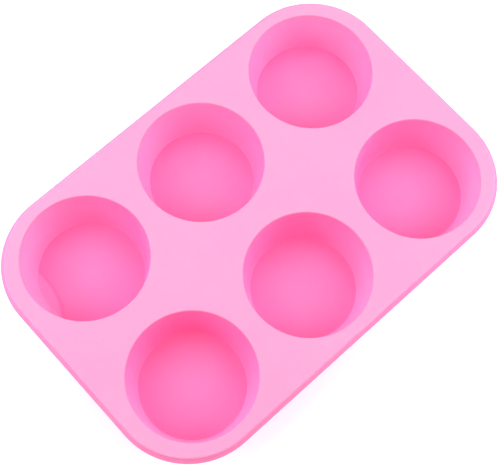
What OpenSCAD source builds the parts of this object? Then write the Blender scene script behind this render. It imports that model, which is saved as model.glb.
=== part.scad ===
// Six-cup round soap mould, one flexible silicone moulding drawn region by region:
// a flat sheet, the flared skirt around its edge, and six tapered cups that hang below it.
// The origin is the centre of the footprint, on the surface that the cups stand on.
// +X runs along the length, +Y across the width and +Z up.

/* [Sheet] */
// Overall length, measured over the skirt's hem
mould_length = 260; // [250:1:280]
// Overall width, measured over the skirt's hem
mould_width = 175; // [170:1:190]
// Overall height, from the cups' feet to the sheet's top face
mould_height = 30; // [20:1:45]
// Thickness of the flat sheet between the cups
sheet_thickness = 1.5; // [1:0.1:2.5]
// Radius of the sheet's corners, seen from above
corner_radius = 42.2; // [30:0.1:50]

/* [Skirt] */
// Height of the whole edge, from the sheet's top face to the skirt's hem
edge_height = 5; // [4:0.5:10]
// How far the skirt spreads outward between the sheet and its hem
skirt_flare = 2.2; // [0.5:0.1:3]
// Thickness of the skirt, measured level
skirt_thickness = 1.5; // [1:0.1:2]

/* [Cups] */
// Distance between cup centres along the length
pitch_x = 83.7; // [76:0.1:88]
// Distance between cup centres across the width
pitch_y = 87.3; // [76:0.1:94]
// Inside diameter of a cup at its mouth
mouth_diameter = 71; // [64:0.5:77]
// Inside diameter of a cup at its floor
floor_diameter = 60; // [50:0.5:63]
// Thickness of a cup's wall, measured level
wall_thickness = 1.2; // [1:0.1:2]
// Thickness of a cup's floor
floor_thickness = 1.2; // [0.8:0.1:3]
// Clearance around a cup's floor, so that it can be pushed up without rubbing
floor_clearance = 0.2; // [0.1:0.05:0.4]

/* [Hidden] */
$fn = 96;
COLUMNS = 3;
ROWS = 2;

// The sheet's outline is the skirt's outline drawn in by the flare.
sheet_length = mould_length - 2 * skirt_flare;
sheet_width = mould_width - 2 * skirt_flare;
straight_x = sheet_length - 2 * corner_radius;
straight_y = sheet_width - 2 * corner_radius;
sheet_underside = mould_height - sheet_thickness;
skirt_drop = edge_height - sheet_thickness;

mouth_radius = mouth_diameter / 2;
floor_radius = floor_diameter / 2;
cup_depth = mould_height - floor_thickness;
// The cutter for a cup's mouth runs this far past both faces of the sheet.
cut_margin = 1;

sheet_pink = [0.98, 0.70, 0.87];
skirt_pink = [0.93, 0.55, 0.77];
cup_pink = [1.00, 0.48, 0.75];

// Inside radius of a cup at a height above its feet; it grows evenly from floor to mouth.
function cup_radius(z) =
    floor_radius + (mouth_radius - floor_radius) * (z - floor_thickness) / cup_depth;

// Cups are numbered along +X, first in the -Y row and then in the +Y row.
function cup_centre(number) = [
    ((number - 1) % COLUMNS - (COLUMNS - 1) / 2) * pitch_x,
    (floor((number - 1) / COLUMNS) - (ROWS - 1) / 2) * pitch_y,
    0
];

module sheet_outline() {
    square([sheet_length, straight_y], center = true);
    square([straight_x, sheet_width], center = true);
    for (x = [-straight_x / 2, straight_x / 2], y = [-straight_y / 2, straight_y / 2])
        translate([x, y])
            circle(r = corner_radius);
}

// The tapered hole that a cup leaves in the sheet, in line with the cup's inside wall.
module mouth_cutter() {
    low = sheet_underside - cut_margin;
    high = mould_height + cut_margin;
    translate([0, 0, low])
        cylinder(h = high - low, r1 = cup_radius(low), r2 = cup_radius(high));
}

module top_sheet() {
    color(sheet_pink)
        difference() {
            translate([0, 0, sheet_underside])
                linear_extrude(sheet_thickness)
                    sheet_outline();
            for (number = [1 : COLUMNS * ROWS])
                translate(cup_centre(number))
                    mouth_cutter();
        }
}

// The skirt's section: x is the distance outward from the sheet's edge, y is the height.
module skirt_section() {
    polygon([
        [-skirt_thickness, 0],
        [0, 0],
        [skirt_flare, -skirt_drop],
        [skirt_flare - skirt_thickness, -skirt_drop]
    ]);
}

module skirt_side(distance, run) {
    translate([distance, 0, 0])
        rotate([90, 0, 0])
            linear_extrude(run, center = true)
                skirt_section();
}

module skirt_corner() {
    rotate_extrude(angle = 90)
        translate([corner_radius, 0])
            skirt_section();
}

module edge_skirt() {
    color(skirt_pink)
        translate([0, 0, sheet_underside])
            for (turn = [0, 180]) {
                rotate(turn) {
                    skirt_side(sheet_length / 2, straight_y);
                    translate([straight_x / 2, straight_y / 2, 0])
                        skirt_corner();
                }
                rotate(turn + 90) {
                    skirt_side(sheet_width / 2, straight_x);
                    translate([straight_y / 2, straight_x / 2, 0])
                        skirt_corner();
                }
            }
}

// A tapered sleeve from the sheet down to the feet, bored straight where the floor sits in it.
module cup_wall(number) {
    color(cup_pink)
        translate(cup_centre(number))
            rotate_extrude()
                polygon([
                    [floor_radius, 0],
                    [floor_radius + wall_thickness, 0],
                    [cup_radius(sheet_underside) + wall_thickness, sheet_underside],
                    [cup_radius(sheet_underside), sheet_underside],
                    [floor_radius, floor_thickness]
                ]);
}

// The floor panel that is pushed up from below to free a finished bar.
module cup_floor(number) {
    color(cup_pink)
        translate(cup_centre(number))
            cylinder(h = floor_thickness, r = floor_radius - floor_clearance);
}

top_sheet();
edge_skirt();
cup_wall(1);  // cup_wall_1
cup_wall(2);  // cup_wall_2
cup_wall(3);  // cup_wall_3
cup_wall(4);  // cup_wall_4
cup_wall(5);  // cup_wall_5
cup_wall(6);  // cup_wall_6
cup_floor(1);  // cup_floor_1
cup_floor(2);  // cup_floor_2
cup_floor(3);  // cup_floor_3
cup_floor(4);  // cup_floor_4
cup_floor(5);  // cup_floor_5
cup_floor(6);  // cup_floor_6
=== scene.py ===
"""Looks of the six-cup silicone soap mould: a soft pink sheet with a flared skirt and six tapered cups."""
import math

import bmesh
import bpy
from mathutils import Matrix, Vector


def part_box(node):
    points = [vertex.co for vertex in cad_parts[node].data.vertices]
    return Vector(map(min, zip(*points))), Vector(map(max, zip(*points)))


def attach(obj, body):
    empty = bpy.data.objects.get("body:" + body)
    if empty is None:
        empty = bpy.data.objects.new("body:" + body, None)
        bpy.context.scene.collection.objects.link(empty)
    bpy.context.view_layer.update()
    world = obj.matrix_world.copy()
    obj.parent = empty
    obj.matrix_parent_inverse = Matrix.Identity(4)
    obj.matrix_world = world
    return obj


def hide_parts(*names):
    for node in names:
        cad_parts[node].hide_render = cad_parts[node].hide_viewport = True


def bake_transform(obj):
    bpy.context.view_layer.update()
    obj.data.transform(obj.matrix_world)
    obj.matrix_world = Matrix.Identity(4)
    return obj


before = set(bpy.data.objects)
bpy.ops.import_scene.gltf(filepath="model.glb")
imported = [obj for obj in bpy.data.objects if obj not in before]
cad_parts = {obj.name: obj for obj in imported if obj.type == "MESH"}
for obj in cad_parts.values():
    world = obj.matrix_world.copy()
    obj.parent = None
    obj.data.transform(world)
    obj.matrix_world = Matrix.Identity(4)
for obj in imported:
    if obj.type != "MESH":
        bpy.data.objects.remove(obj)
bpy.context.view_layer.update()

# ---------------------------------------------------------------- sizes

MM = 0.001
CUPS = (1, 2, 3, 4, 5, 6)
MOULDING = "moulding"

sheet_low, sheet_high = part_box("top_sheet")
skirt_low, skirt_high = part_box("edge_skirt")
wall_low, wall_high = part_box("cup_wall_1")
panel_low, panel_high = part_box("cup_floor_1")

TOP = sheet_high.z
UNDERSIDE = sheet_low.z
HEM = skirt_low.z
FLOOR = panel_high.z
HALF_X = sheet_high.x
HALF_Y = sheet_high.y
FLARE = skirt_high.x - sheet_high.x

# Radius of the outline's corners.
CORNER = 42.2 * MM

# Thicknesses, and the gap round a floor panel in the CAD model.
WALL = 1.2 * MM
SKIRT = 1.5 * MM
PANEL_GAP = 0.2 * MM

FLOOR_RADIUS = (panel_high.x - panel_low.x) / 2 + PANEL_GAP
UNDERSIDE_RADIUS = (wall_high.x - wall_low.x) / 2 - WALL
TAPER = (UNDERSIDE_RADIUS - FLOOR_RADIUS) / (UNDERSIDE - FLOOR)
MOUTH_RADIUS = FLOOR_RADIUS + TAPER * (TOP - FLOOR)

# Rounded corners of the moulding, by radius. The root is where the skirt's inside meets the sheet.
LIP_ROUND = 0.5 * MM
CREASE_ROUND = 0.7 * MM
FOOT_ROUND = 2.2 * MM
UNDER_LIP_ROUND = 1.6 * MM
EDGE_ROUND = 0.5 * MM
WAIST_ROUND = 1.2 * MM
HEM_ROUND = 0.4 * MM
ROOT_ROUND = 1.2 * MM

# The skirt drops steeply to its waist and then flares out in a thin flange. Its root reaches in under
# the sheet.
WAIST_OUT = 0.45 * MM
WAIST_DROP = 2.6 * MM
FLANGE_EDGE = 1.1 * MM
FLANGE_OUT = FLARE + 0.15 * MM
ROOT_REACH = 2.5 * MM

# Steps in an arc, and the longest step along a section.
ARC_STEPS = 6
CUP_ARC_STEPS = 8
SKIRT_STEP = 0.8 * MM
INSIDE_STEP = 0.7 * MM
OUTSIDE_STEP = 0.9 * MM

# Each cup has a share of the sheet round it, with four sides: its rings of points, and points to a side.
SHEET_RINGS = 9
SIDE_POINTS = 36

# A part of a direction smaller than this counts as none.
NO_PART = 1e-9

# Reaches closer than the first of these count as the same, and points closer than the second are merged.
SAME_REACH = 1e-7
MERGED = 1e-6

# Decimals of a bearing that tell two points of the outline apart.
BEARING_DECIMALS = 5


def grid_place(number):
    """A cup's column, -1, 0 or 1 along X, and its row, -1 or 1 along Y."""
    return (number - 1) % 3 - 1, 1 if number > 3 else -1


def cup_centre(number):
    """The middle of a cup, seen from above."""
    low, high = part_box(f"cup_wall_{number}")
    return Vector(((low.x + high.x) / 2, (low.y + high.y) / 2))


CENTRES = {number: cup_centre(number) for number in CUPS}
PITCH_X = CENTRES[2].x - CENTRES[1].x
PITCH_Y = CENTRES[4].y - CENTRES[1].y

# How far each soft cup leans at its floor, in millimetres along X and Y, and the power of the depth
# that the lean grows by.
LEAN = {1: (0.4, 0.6), 2: (-0.4, 0.4), 3: (0.5, 0.6), 4: (0.5, -1.0), 5: (0.0, -0.5), 6: (0.5, 0.0)}
LEAN_POWER = 1.5

# Cup 4 is buckled: its floor is folded up into the wall beyond a crease, which bows with the square of
# the distance along it. A shallow groove follows the crease on the floor and fades up the wall.
BUCKLED_CUP = 4
BUCKLE_FACING = math.radians(168)
BUCKLE_REACH = 22.1 * MM
BUCKLE_BOW = 0.0125 / MM
BUCKLE_SLOPE = math.tan(math.radians(24))
BUCKLE_GROOVE = 0.3 * MM
BUCKLE_GROOVE_WIDTH = 0.8 * MM
BUCKLE_GROOVE_FADE = 2.0 * MM
BUCKLE_ROUND_IN = 0.25 * MM
BUCKLE_ROUND_OUT = 2.0 * MM

# Painted shade in a cup goes from 0, lit, to 1, shaded, and the meshes keep it under this name.
SHADE_ATTRIBUTE = "painted_shade"

# A floor's colour is painted deeper from its middle to its rim by a power of the radius, as painted
# shade where the walls keep light off. Its painted shade ends a little way up the crease.
FLOOR_SHADE = 0.4
RIM_SHADE = 0.88
RIM_SHADE_POWER = 1.4
RIM_SHADE_HEIGHT = 0.3 * CREASE_ROUND

# Painted light and shade: walls that face out of the mould are painted lighter, standing in for light
# that comes through them, and walls that face another cup are painted deeper, as shade. Each wall is
# also painted deeper towards its mouth.
WALL_SHADE = 0.52
WALL_LIGHT_SPREAD = 0.4
WALL_SHADE_RISE = 0.5

# The sheet's slight waviness: its height, and its wavelengths divided by a full turn.
SWAY = 0.16 * MM
SWAY_ALONG_X = 47 * MM
SWAY_ALONG_Y = 51 * MM
SWAY_ACROSS = 36 * MM


def inner_radius(z):
    """Radius of a cup's inside at a height."""
    return FLOOR_RADIUS + TAPER * (z - FLOOR)


def sway(x, y, z):
    """How far a point rises: none at the table and most at the top. The phases are arbitrary."""
    straight = math.sin(x / SWAY_ALONG_X + 0.6) * math.cos(y / SWAY_ALONG_Y - 0.3)
    slanting = 0.6 * math.sin((x - y) / SWAY_ACROSS + 1.9)
    return SWAY * (straight + slanting) * (z / TOP)


def clamped(share):
    """A share held between 0 and 1."""
    return max(0.0, min(1.0, share))


# ---------------------------------------------------------------- mesh building


class Shell:
    """Collects rings of points and the faces between them, then makes one mesh object.

    Each point has a painted shade from 0, lit, to 1, shaded, which the material reads from the mesh.
    """

    def __init__(self):
        self.points = []
        self.faces = []
        self.sharp = set()
        self.shade_values = []

    def ring(self, points, shade_values=None):
        """Adds points, and returns their numbers."""
        start = len(self.points)
        self.points += [tuple(p) for p in points]
        self.shade_values += shade_values or [0.0] * len(points)
        return list(range(start, len(self.points)))

    def bridge(self, a, b):
        """Joins two closed rings of the same length with faces."""
        for i in range(len(a)):
            j = (i + 1) % len(a)
            self.faces.append((a[i], a[j], b[j], b[i]))

    def fan(self, ring, centre, shade_value):
        """Closes a ring with triangles that meet at a centre."""
        hub = self.ring([centre], [shade_value])[0]
        for i in range(len(ring)):
            self.faces.append((ring[i], ring[(i + 1) % len(ring)], hub))

    def loft(self, rings, shade_values=None):
        """Adds a row of rings, each joined to the next."""
        made = [self.ring(*pair) for pair in zip(rings, shade_values or [None] * len(rings))]
        for a, b in zip(made, made[1:]):
            self.bridge(a, b)
        return made

    def crease(self, ring):
        """Keeps the shading sharp along a ring."""
        for i in range(len(ring)):
            self.sharp.add(frozenset((ring[i], ring[(i + 1) % len(ring)])))

    def build(self, name, material):
        """Makes the mesh object, smooth apart from its creases."""
        mesh = bpy.data.meshes.new(name)
        mesh.from_pydata(self.points, [], self.faces)
        marks = mesh.attributes.new("sharp_edge", "BOOLEAN", "EDGE")
        flags = [frozenset(e.vertices) in self.sharp for e in mesh.edges]
        marks.data.foreach_set("value", flags)
        shade_value = mesh.attributes.new(SHADE_ATTRIBUTE, "FLOAT", "POINT")
        shade_value.data.foreach_set("value", self.shade_values)
        work = bmesh.new()
        work.from_mesh(mesh)
        bmesh.ops.remove_doubles(work, verts=work.verts, dist=MERGED)
        bmesh.ops.recalc_face_normals(work, faces=work.faces)
        work.to_mesh(mesh)
        work.free()
        mesh.polygons.foreach_set("use_smooth", [True] * len(mesh.polygons))
        mesh.materials.append(material)
        obj = bpy.data.objects.new(name, mesh)
        bpy.context.scene.collection.objects.link(obj)
        return obj


def arc(centre, radius, start, end, steps):
    """Points on a circular arc, angles in radians, both ends included."""
    angles = [start + (end - start) * i / steps for i in range(steps + 1)]
    return [(centre[0] + radius * math.cos(a), centre[1] + radius * math.sin(a)) for a in angles]


def rounded(profile, steps=ARC_STEPS):
    """A polyline through (x, y, radius) points, each corner rounded by an arc of its radius."""
    out = []
    for i, (x, y, radius) in enumerate(profile):
        here = Vector((x, y))
        if i in (0, len(profile) - 1) or radius <= 0:
            out.append((x, y))
            continue
        back = (Vector(profile[i - 1][:2]) - here).normalized()
        ahead = (Vector(profile[i + 1][:2]) - here).normalized()
        half = back.angle(ahead) / 2
        reach = radius / math.tan(half)
        centre = here + (back + ahead).normalized() * (radius / math.sin(half))
        first = here + back * reach - centre
        last = here + ahead * reach - centre
        start = math.atan2(first.y, first.x)
        turn = math.atan2(last.y, last.x) - start
        turn = (turn + math.pi) % (2 * math.pi) - math.pi
        out += arc(centre, radius, start, start + turn, steps)
    return out


def subdivided(points, longest):
    """The same polyline with no step longer than the given one."""
    out = [points[0]]
    for start, end in zip(points, points[1:]):
        a = Vector(start)
        b = Vector(end)
        count = max(1, math.ceil((b - a).length / longest))
        out += [tuple(a.lerp(b, i / count)) for i in range(1, count + 1)]
    return out


def around(centre, angles, radius, z):
    """A ring of points round a centre."""
    return [(centre.x + radius * math.cos(a), centre.y + radius * math.sin(a), z) for a in angles]


def shaped(points):
    """Points of the moulding with the sheet's waviness added."""
    return [(x, y, z + sway(x, y, z)) for x, y, z in points]


# ---------------------------------------------------------------- sheet


def lip_profile():
    """The rounded lip from inside a mouth up onto the sheet, as (radius, height)."""
    low = TOP - 2 * LIP_ROUND
    ahead = MOUTH_RADIUS + 2 * LIP_ROUND
    return rounded([(inner_radius(low), low, 0), (MOUTH_RADIUS, TOP, LIP_ROUND), (ahead, TOP, 0)])[1:-1]


def edge_profile():
    """The sheet's outer edge from the top face to the skirt's seam, as (distance out, height)."""
    back = -2 * EDGE_ROUND
    return rounded([(back, TOP, 0), (0, TOP, EDGE_ROUND), (WAIST_OUT, TOP - WAIST_DROP, 0)])[1:-1]


LIP = lip_profile()
SEAM_RADIUS, SEAM_Z = LIP[0]
UNDER_LIP_RADIUS = UNDERSIDE_RADIUS + WALL + UNDER_LIP_ROUND
EDGE = edge_profile()
EDGE_IN = -EDGE[0][0]
EDGE_SEAM = EDGE[-1]


def cell_sides(number):
    """The sheet's share round a cup, as its reach in +X, +Y, -X and -Y from the cup's centre."""
    centre = CENTRES[number]
    column, row = grid_place(number)
    half_x = HALF_X - EDGE_IN
    half_y = HALF_Y - EDGE_IN
    right = half_x - centre.x if column == 1 else PITCH_X / 2
    up = half_y - centre.y if row == 1 else PITCH_Y / 2
    left = half_x + centre.x if column == -1 else PITCH_X / 2
    down = half_y + centre.y if row == -1 else PITCH_Y / 2
    return right, up, left, down


def cup_angles(number):
    """Directions of the points round a cup, with one at each corner of its share of the sheet."""
    right, up, left, down = cell_sides(number)
    corners = [
        math.atan2(-down, right),
        math.atan2(up, right),
        math.atan2(up, -left),
        math.atan2(-down, -left) + 2 * math.pi,
        math.atan2(-down, right) + 2 * math.pi,
    ]
    out = []
    for a, b in zip(corners, corners[1:]):
        out += [a + (b - a) * i / SIDE_POINTS for i in range(SIDE_POINTS)]
    return out


ANGLES = {number: cup_angles(number) for number in CUPS}


def reach_to_edge(centre, direction, inset):
    """Distance from a cup's centre to the sheet's rounded outline, drawn in by inset."""
    half = Vector((HALF_X - inset, HALF_Y - inset))
    radius = CORNER - inset
    reach = min(
        (half[i] - math.copysign(1, direction[i]) * centre[i]) / abs(direction[i])
        for i in (0, 1)
        if abs(direction[i]) > NO_PART
    )
    point = centre + direction * reach
    core = half - Vector((radius, radius))
    if abs(point.x) > core.x and abs(point.y) > core.y:
        pivot = Vector((math.copysign(core.x, point.x), math.copysign(core.y, point.y)))
        offset = centre - pivot
        along = offset.dot(direction)
        reach = -along + math.sqrt(along * along - offset.length_squared + radius * radius)
    return reach


def cell_reach(number, direction, inset):
    """Distance from a cup's centre to the border of its share, and whether the sheet's outline is there."""
    right, up, left, down = cell_sides(number)
    to_line = []
    if abs(direction.x) > NO_PART:
        to_line.append((right if direction.x > 0 else left) / abs(direction.x))
    if abs(direction.y) > NO_PART:
        to_line.append((up if direction.y > 0 else down) / abs(direction.y))
    inner = min(to_line)
    edge = reach_to_edge(CENTRES[number], direction, inset)
    return min(inner, edge), edge <= inner + SAME_REACH


def outline_normal(point):
    """Outward direction of the rounded outline at a point on it."""
    core = Vector((HALF_X - CORNER, HALF_Y - CORNER))
    nearest = Vector((max(-core.x, min(core.x, point.x)), max(-core.y, min(core.y, point.y))))
    return (point - nearest).normalized()


def outline_rings(loop, profile):
    """Closed rings round the sheet's outline, one for each (distance out, height) of the profile."""
    rings = []
    for out, z in profile:
        shift = out + EDGE_IN
        rings.append([(p.x + n.x * shift, p.y + n.y * shift, z) for p, n in loop])
    return rings


def share_rings(centre, directions, reaches, start, z):
    """Rings at one height that spread from a radius round a cup to the border of its share of the sheet."""
    rings = []
    for step in range(1, SHEET_RINGS + 1):
        radii = [start + (reach - start) * (step / SHEET_RINGS) for reach in reaches]
        rings.append([(centre.x + r * d.x, centre.y + r * d.y, z) for r, d in zip(radii, directions)])
    return rings


def add_share(shell, number, border):
    """Adds the sheet's share round a cup, and its points on the outline to border, by their bearing."""
    centre = CENTRES[number]
    angles = ANGLES[number]
    directions = [Vector((math.cos(a), math.sin(a))) for a in angles]
    ends = [cell_reach(number, d, EDGE_IN) for d in directions]
    reaches = [reach for reach, _ in ends]
    top = [around(centre, angles, r, z) for r, z in LIP]
    top += share_rings(centre, directions, reaches, LIP[-1][0], TOP)
    under = [around(centre, angles, UNDER_LIP_RADIUS, UNDERSIDE)]
    under += share_rings(centre, directions, reaches, UNDER_LIP_RADIUS, UNDERSIDE)
    upper = shell.loft([shaped(ring) for ring in top])
    lower = shell.loft([shaped(ring) for ring in under])
    shell.bridge(upper[0], lower[0])
    shell.crease(upper[0])
    shell.crease(lower[0])
    for direction, (reach, on_edge) in zip(directions, ends):
        if on_edge:
            point = centre + direction * reach
            bearing = round(math.atan2(point.y, point.x), BEARING_DECIMALS)
            border[bearing] = (point, outline_normal(point))


def make_sheet(material):
    """The sheet, and its outline as a loop of (point, outward direction)."""
    shell = Shell()
    border = {}
    for number in CUPS:
        add_share(shell, number, border)
    loop = [border[bearing] for bearing in sorted(border)]
    edge = shell.loft([shaped(ring) for ring in outline_rings(loop, EDGE)])
    closing = shell.ring(shaped([(p.x, p.y, UNDERSIDE) for p, _ in loop]))
    shell.bridge(edge[-1], closing)
    shell.crease(edge[-1])
    return shell.build("sheet", material), loop


# ---------------------------------------------------------------- skirt


def make_skirt(material, loop):
    """The skirt round the sheet's outline, from the seam at the sheet's edge to its root."""
    path = rounded([
        (*EDGE_SEAM, 0),
        (WAIST_OUT, TOP - WAIST_DROP, WAIST_ROUND),
        (FLANGE_OUT, HEM + FLANGE_EDGE, HEM_ROUND),
        (FLANGE_OUT, HEM, HEM_ROUND),
        (FLARE - SKIRT, HEM, HEM_ROUND),
        (-SKIRT, UNDERSIDE, ROOT_ROUND),
        (-SKIRT - ROOT_REACH, UNDERSIDE, 0),
    ])
    shell = Shell()
    made = shell.loft([shaped(ring) for ring in outline_rings(loop, subdivided(path, SKIRT_STEP))])
    shell.bridge(made[-1], made[0])
    shell.crease(made[0])
    shell.crease(made[-1])
    return shell.build("skirt", material)


# ---------------------------------------------------------------- cups


def cup_profile():
    """A cup's section as (radius, height): down the inside from the sheet's seam, and up the outside."""
    inside = rounded([
        (SEAM_RADIUS, SEAM_Z, 0),
        (FLOOR_RADIUS, FLOOR, CREASE_ROUND),
        (0.0, FLOOR, 0),
    ], steps=CUP_ARC_STEPS)
    outside = rounded([
        (0.0, 0.0, 0),
        (FLOOR_RADIUS + WALL, 0.0, FOOT_ROUND),
        (UNDERSIDE_RADIUS + WALL, UNDERSIDE, UNDER_LIP_ROUND),
        (UNDERSIDE_RADIUS + WALL + 2 * UNDER_LIP_ROUND, UNDERSIDE, 0),
    ], steps=CUP_ARC_STEPS)[:-1]
    return subdivided(inside, INSIDE_STEP)[:-1], subdivided(outside, OUTSIDE_STEP)[1:]


def past_crease(place):
    """How far a place in the buckled cup, counted from the cup's centre, lies beyond the crease."""
    facing = Vector((math.cos(BUCKLE_FACING), math.sin(BUCKLE_FACING)))
    bow = BUCKLE_BOW * place.dot(facing.orthogonal()) ** 2
    return place.dot(facing) - BUCKLE_REACH - bow


def groove_share(beyond):
    """How much of the groove there is at a distance from the crease."""
    return math.exp(-(beyond / BUCKLE_GROOVE_WIDTH) ** 2)


def buckled(place, z, base, blunt):
    """Height of a point of the buckled cup, folded up beyond the crease.

    base is the level of the floor or foot that is folded, and blunt rounds the fold. Only the floor has
    the groove.
    """
    beyond = past_crease(place)
    plane = base + beyond * BUCKLE_SLOPE
    gap = max(blunt - abs(z - plane), 0.0)
    on_floor = max(0.0, 1.0 - (z - base) / BUCKLE_GROOVE_FADE) if base > 0 else 0.0
    groove = BUCKLE_GROOVE * groove_share(beyond) * on_floor
    return max(z, plane) + gap * gap / (4 * blunt) - groove


def painted_wall_shade(number, place, z):
    """Painted light and shade of a cup's wall at a place counted from the cup's centre, at height z."""
    outward = Vector(grid_place(number))
    rise = (z - FLOOR) / (TOP - FLOOR) - 0.5
    return WALL_SHADE - WALL_LIGHT_SPREAD * place.normalized().dot(outward) + WALL_SHADE_RISE * rise


def painted_inside_shade(number, place, z):
    """Painted shade inside a cup. Beyond a crease it is the wall's, and on the crease it is painted
    deepest.
    """
    if z > FLOOR + RIM_SHADE_HEIGHT:
        return painted_wall_shade(number, place, z)
    outer = min(place.length / FLOOR_RADIUS, 1.0) ** RIM_SHADE_POWER
    shade_value = FLOOR_SHADE + (RIM_SHADE - FLOOR_SHADE) * outer
    if number == BUCKLED_CUP:
        beyond = past_crease(place)
        # The buckle's folded-up facet takes the wall's painted light, and the crease line gets painted
        # shade.
        shade_value += (WALL_SHADE - shade_value) * clamped(beyond / BUCKLE_GROOVE_WIDTH)
        shade_value += (1.0 - shade_value) * groove_share(beyond)
    return shade_value


def make_cup(number, material):
    """A cup's walls and floor as one closed shell, which meets the sheet at the mouth's lip."""
    centre = CENTRES[number]
    angles = ANGLES[number]
    lean = Vector(LEAN[number]) * MM
    inside, outside = cup_profile()

    def leaning(x, y, z):
        """A point's place from the cup's centre, once the cup leans."""
        return Vector((x, y)) - centre + lean * clamped((TOP - z) / (TOP - FLOOR)) ** LEAN_POWER

    def placed(points, base, blunt):
        """Points of the cup where they end up, leaning, buckled and wavy."""
        out = []
        for x, y, z in points:
            place = leaning(x, y, z)
            if number == BUCKLED_CUP:
                z = buckled(place, z, base, blunt)
            at = centre + place
            out.append((at.x, at.y, z + sway(at.x, at.y, z)))
        return out

    shell = Shell()
    rings = [around(centre, angles, r, z) for r, z in inside]
    # Painted shade of the inside: deeper round the floor's rim and in the buckle's crease.
    shade_values = [[painted_inside_shade(number, leaning(*point), point[2]) for point in ring] for ring in rings]
    inner = shell.loft([placed(ring, FLOOR, BUCKLE_ROUND_IN) for ring in rings], shade_values)
    middle = placed([(*centre, FLOOR)], FLOOR, BUCKLE_ROUND_IN)[0]
    shell.fan(inner[-1], middle, FLOOR_SHADE)
    rings = [around(centre, angles, r, z) for r, z in outside]
    # The outside of a cup has the walls' middle painted shade.
    shade_values = [[WALL_SHADE] * len(ring) for ring in rings]
    outer = shell.loft([placed(ring, 0.0, BUCKLE_ROUND_OUT) for ring in rings], shade_values)
    middle = placed([(*centre, 0.0)], 0.0, BUCKLE_ROUND_OUT)[0]
    shell.fan(outer[0], middle, WALL_SHADE)
    shell.bridge(outer[-1], inner[0])
    shell.crease(inner[0])
    shell.crease(outer[-1])
    return shell.build(f"cup_{number}", material)


# ---------------------------------------------------------------- materials


# The sheet's pink; the skirt's and the cups' pinks are painted shade, lit and shaded copies of it.
FACE_PINK = (0.98, 0.280, 0.470)
SHADED_SKIRT_PINK = (0.84, 0.212, 0.430)
LIT_CUP_PINK = (0.99, 0.300, 0.590)
SHADED_CUP_PINK = (0.99, 0.180, 0.455)

# Heights between which the skirt's painted shade turns into the sheet's pink, and below the lip a cup's
# painted shade does.
SKIRT_SHADE = (TOP - 1.4 * MM, TOP - 0.4 * MM)
LIP_SHADE = (TOP - 1.5 * MM, TOP)

# Noises, each as features to a metre, detail and roughness: clouds in the colour, patches in the gloss,
# and a fine grain.
CLOUDS = (22.0, 3.0, 0.5)
PATCHES = (140.0, 4.0, 0.6)
GRAIN = (1500.0, 2.0, 0.5)

# The range that most of a noise lies in, and what it is mapped to.
NOISE_RANGE = (0.3, 0.7)
SATURATION_RANGE = (0.99, 1.01)
ROUGHNESS_RANGE = (0.46, 0.60)

# Sockets of a Mix node that mixes colours.
MIX_FACTOR = 0
MIX_FIRST = 6
MIX_SECOND = 7
MIX_RESULT = 2


class Nodes:
    """A small helper that adds and links shader nodes."""

    def __init__(self, material):
        material.use_nodes = True
        self.tree = material.node_tree
        self.tree.nodes.clear()

    def add(self, kind, settings=None, **inputs):
        """Adds a node. Inputs go by name, with _ for a space, and take a value or a node's output."""
        node = self.tree.nodes.new(kind)
        for key, value in (settings or {}).items():
            setattr(node, key, value)
        for key, value in inputs.items():
            self.put(node.inputs[key.replace("_", " ")], value)
        return node

    def put(self, socket, value):
        """Links an output to a socket, or sets the socket's value."""
        if hasattr(value, "is_output"):
            self.tree.links.new(value, socket)
        else:
            socket.default_value = value


def ramp(nodes, value, first, last):
    """The colour that goes from first to last as a value goes from 0 to 1."""
    node = nodes.add("ShaderNodeValToRGB", Fac=value)
    for element, colour in zip(node.color_ramp.elements, (first, last)):
        element.color = (*colour, 1.0)
    return node.outputs["Color"]


def mapped(nodes, value, source, target=(0.0, 1.0)):
    """A value mapped from one (low, high) range to another."""
    node = nodes.add("ShaderNodeMapRange", Value=value, From_Min=source[0], From_Max=source[1])
    nodes.put(node.inputs["To Min"], target[0])
    nodes.put(node.inputs["To Max"], target[1])
    return node.outputs["Result"]


def noise(nodes, place, scale, detail, roughness):
    """A noise from 0 to 1 over a place."""
    node = nodes.add("ShaderNodeTexNoise", Vector=place, Scale=scale, Detail=detail, Roughness=roughness)
    return node.outputs["Fac"]


def sheet_pink_with_shaded_skirt(nodes, height):
    """The pink of the sheet, with painted shade that makes it deeper on its skirt."""
    return ramp(nodes, mapped(nodes, height, SKIRT_SHADE), SHADED_SKIRT_PINK, FACE_PINK)


def cup_pink_with_painted_shade(nodes, height):
    """The pink of a cup by its painted shade, turning into the sheet's pink just below the lip."""
    shade_value = nodes.add("ShaderNodeAttribute", {"attribute_name": SHADE_ATTRIBUTE}).outputs["Fac"]
    mix = nodes.add("ShaderNodeMix", {"data_type": "RGBA"})
    nodes.put(mix.inputs[MIX_FACTOR], mapped(nodes, height, LIP_SHADE))
    nodes.put(mix.inputs[MIX_FIRST], ramp(nodes, shade_value, LIT_CUP_PINK, SHADED_CUP_PINK))
    nodes.put(mix.inputs[MIX_SECOND], (*FACE_PINK, 1.0))
    return mix.outputs[MIX_RESULT]


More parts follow.
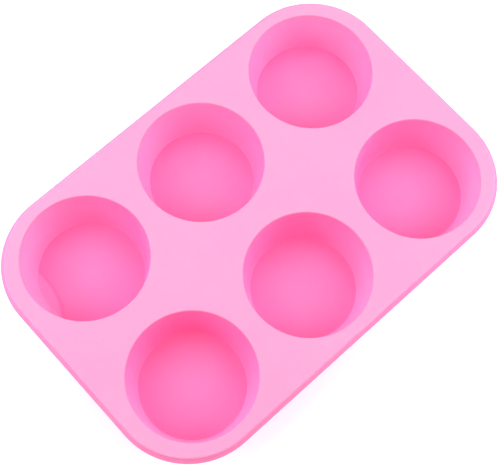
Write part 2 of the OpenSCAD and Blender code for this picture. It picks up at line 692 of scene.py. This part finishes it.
def silicone(name, pink_by):
    """Satin silicone, faintly cloudy, that light sinks into. pink_by makes its pink from the height."""
    material = bpy.data.materials.new(name)
    nodes = Nodes(material)
    place = nodes.add("ShaderNodeTexCoord").outputs["Object"]
    height = nodes.add("ShaderNodeSeparateXYZ", Vector=place).outputs["Z"]
    saturation = mapped(nodes, noise(nodes, place, *CLOUDS), NOISE_RANGE, SATURATION_RANGE)
    tone = nodes.add("ShaderNodeHueSaturation", Color=pink_by(nodes, height), Saturation=saturation)
    grain = noise(nodes, place, *GRAIN)
    bump = nodes.add("ShaderNodeBump", Height=grain, Strength=0.12, Distance=0.08 * MM)
    shader = nodes.add(
        "ShaderNodeBsdfPrincipled",
        Base_Color=tone.outputs["Color"],
        Roughness=mapped(nodes, noise(nodes, place, *PATCHES), NOISE_RANGE, ROUGHNESS_RANGE),
        Normal=bump.outputs["Normal"],
        IOR=1.41,
        Specular_IOR_Level=0.3,
        Subsurface_Weight=0.45,
        Subsurface_Radius=(1.0, 0.35, 0.6),
        Subsurface_Scale=1.2 * MM,
    )
    nodes.add("ShaderNodeOutputMaterial", Surface=shader.outputs["BSDF"])
    return material


# ---------------------------------------------------------------- studio


# The white table's half width, in metres.
TABLE_HALF = 3.0

# Softboxes, all of one size and distance in metres. Each has a name, an azimuth from +X towards +Y and
# an elevation in degrees, and a power in watts.
SOFTBOX_SIZE = 0.42
SOFTBOX_DISTANCE = 0.66
SOFTBOXES = (
    ("left_back_low", 90, 25, 1.48),
    ("left_low", 150, 25, 1.41),
    ("left_high", 150, 45, 1.61),
    ("right_front", 300, 45, 1.77),
    ("right_low", 330, 25, 2.12),
    ("back_top", 45, 65, 1.01),
)
WORLD_STRENGTH = 0.5


def make_floor():
    """The white table, which gives off a little light of its own, as a light table does."""
    mesh = bpy.data.meshes.new("floor")
    half = TABLE_HALF
    corners = [(-half, -half, 0), (half, -half, 0), (half, half, 0), (-half, half, 0)]
    mesh.from_pydata(corners, [], [(0, 1, 2, 3)])
    material = bpy.data.materials.new("floor")
    nodes = Nodes(material)
    shader = nodes.add(
        "ShaderNodeBsdfPrincipled",
        Base_Color=(0.95, 0.95, 0.95, 1.0),
        Roughness=0.8,
        Specular_IOR_Level=0.2,
        Emission_Strength=0.14,
    )
    nodes.add("ShaderNodeOutputMaterial", Surface=shader.outputs["BSDF"])
    mesh.materials.append(material)
    floor = bpy.data.objects.new("floor", mesh)
    bpy.context.scene.collection.objects.link(floor)


def make_softbox(name, azimuth, elevation, power):
    """A round softbox aimed at the mould."""
    turn = math.radians(azimuth)
    rise = math.radians(elevation)
    away = Vector((math.cos(turn) * math.cos(rise), math.sin(turn) * math.cos(rise), math.sin(rise)))
    lamp = bpy.data.lights.new(name, "AREA")
    lamp.shape = "DISK"
    lamp.size = SOFTBOX_SIZE
    lamp.energy = power
    light = bpy.data.objects.new(name, lamp)
    light.location = away * SOFTBOX_DISTANCE
    light.rotation_mode = "QUATERNION"
    light.rotation_quaternion = (-away).to_track_quat("-Z", "Y")
    bpy.context.scene.collection.objects.link(light)


def make_world():
    """An even white surrounding."""
    world = bpy.data.worlds.new("studio")
    world.use_nodes = True
    background = world.node_tree.nodes["Background"]
    background.inputs["Color"].default_value = (1.0, 1.0, 1.0, 1.0)
    background.inputs["Strength"].default_value = WORLD_STRENGTH
    bpy.context.scene.world = world


def make_camera():
    """A view from the near left, steeply down, with the camera tipped a little to one side."""
    azimuth = math.radians(-48.32)
    elevation = math.radians(71.84)
    roll = math.radians(6.31)
    distance = 674.1 * MM
    aim = Vector((-8.97 * MM, -6.70 * MM, TOP))
    back = Vector((
        math.sin(azimuth) * math.cos(elevation),
        -math.cos(azimuth) * math.cos(elevation),
        math.sin(elevation),
    ))
    data = bpy.data.cameras.new("camera")
    data.sensor_width = 36.0
    data.lens = 88.97
    camera = bpy.data.objects.new("camera", data)
    camera.location = aim + back * distance
    level = (-back).to_track_quat("-Z", "Y")
    tip = Matrix.Rotation(roll, 4, back).to_quaternion()
    camera.rotation_mode = "QUATERNION"
    camera.rotation_quaternion = tip @ level
    bpy.context.scene.collection.objects.link(camera)
    bpy.context.scene.camera = camera


# ---------------------------------------------------------------- scene


make_camera()
make_floor()
make_world()
for softbox in SOFTBOXES:
    make_softbox(*softbox)
bpy.context.scene.view_settings.view_transform = "Standard"

# Both silicones carry painted shade: the sheet's on its skirt, the cups' inside each cup.
sheet_silicone_shaded_skirt = silicone("sheet_silicone_shaded_skirt", sheet_pink_with_shaded_skirt)
cup_silicone_painted_shade = silicone("cup_silicone_painted_shade", cup_pink_with_painted_shade)

sheet, outline = make_sheet(sheet_silicone_shaded_skirt)
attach(sheet, MOULDING)
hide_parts("top_sheet")

skirt = make_skirt(sheet_silicone_shaded_skirt, outline)
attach(skirt, MOULDING)
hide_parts("edge_skirt")

for number in CUPS:
    cup = make_cup(number, cup_silicone_painted_shade)
    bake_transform(cup)
    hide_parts(f"cup_wall_{number}", f"cup_floor_{number}")
